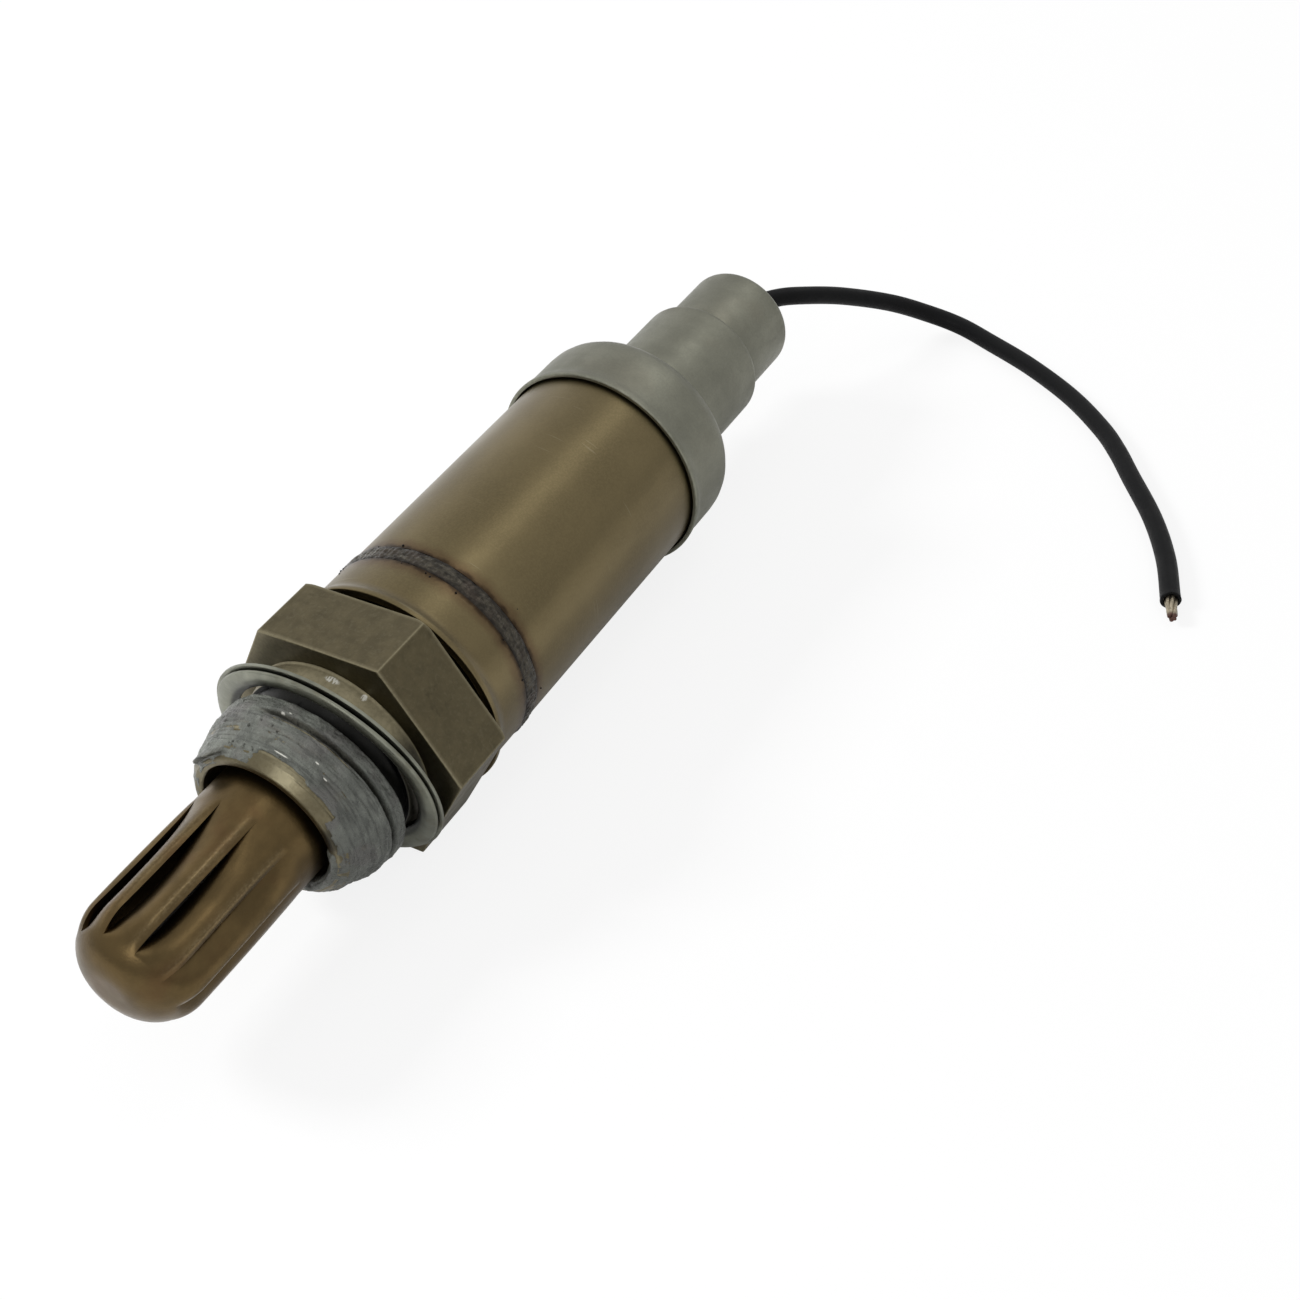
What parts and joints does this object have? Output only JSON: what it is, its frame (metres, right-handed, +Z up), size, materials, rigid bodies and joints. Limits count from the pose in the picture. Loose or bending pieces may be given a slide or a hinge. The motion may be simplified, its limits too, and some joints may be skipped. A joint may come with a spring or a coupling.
{
  "type": "oxygen sensor",
  "caption": "Exhaust oxygen sensor with a louvred probe, threaded hexagonal body, loose gasket, welded sleeves, stepped cable cap and a bare-ended lead.",
  "frame": {"origin": "on the sensor's axis, at the gasket end of the thread", "axes": "+X along the axis from the probe to the cable, +Z up as the sensor lies on its side with a flat of the hexagon upwards, and the lead curls round towards -Y"},
  "size_m": [0.1263, 0.0691, 0.0231],
  "materials": {
    "plated_steel": "turned and plated, olive grey, worn at the edges",
    "gasket_steel": "dull grey sheet",
    "probe_steel": "drawn sheet with a bronze tint",
    "thread_paste": "grey anti-seize paste, smeared",
    "sleeve_steel": "brushed sheet with a bronze tint",
    "cap_steel": "matt drawn sheet",
    "weld": "rough oxidised weld",
    "inner_steel": "bright sheet",
    "zirconia": "fired, with a thin grey film on the tip",
    "alumina": "fired, unglazed",
    "talc": "pressed powder",
    "contact_metal": "bright drawn metal",
    "filter_plastic": "porous white plastic",
    "rubber": "matt",
    "insulation": "satin black insulation",
    "strands": "tinned strands"
  },
  "bodies": {
    "root": {"shell": "plated_steel", "seal_gasket": "gasket_steel", "protection_tube": "probe_steel", "seat_ring": "inner_steel", "thimble": "zirconia", "powder_ring": "talc", "packing_ring": "inner_steel", "support_ceramic": "alumina", "contact_bush": "contact_metal", "contact_rod": "contact_metal", "disc_spring": "inner_steel", "spring_retainer": "inner_steel", "collar_sleeve": "sleeve_steel", "weld_bead": "weld", "sleeve": "sleeve_steel", "insulator": "alumina", "terminal": "contact_metal", "vent_filter": "filter_plastic", "end_cap": "cap_steel", "grommet": "rubber", "inner_lead": "insulation", "lead_insulation": "insulation", "lead_strands": "strands"}
  },
  "joints": []
}
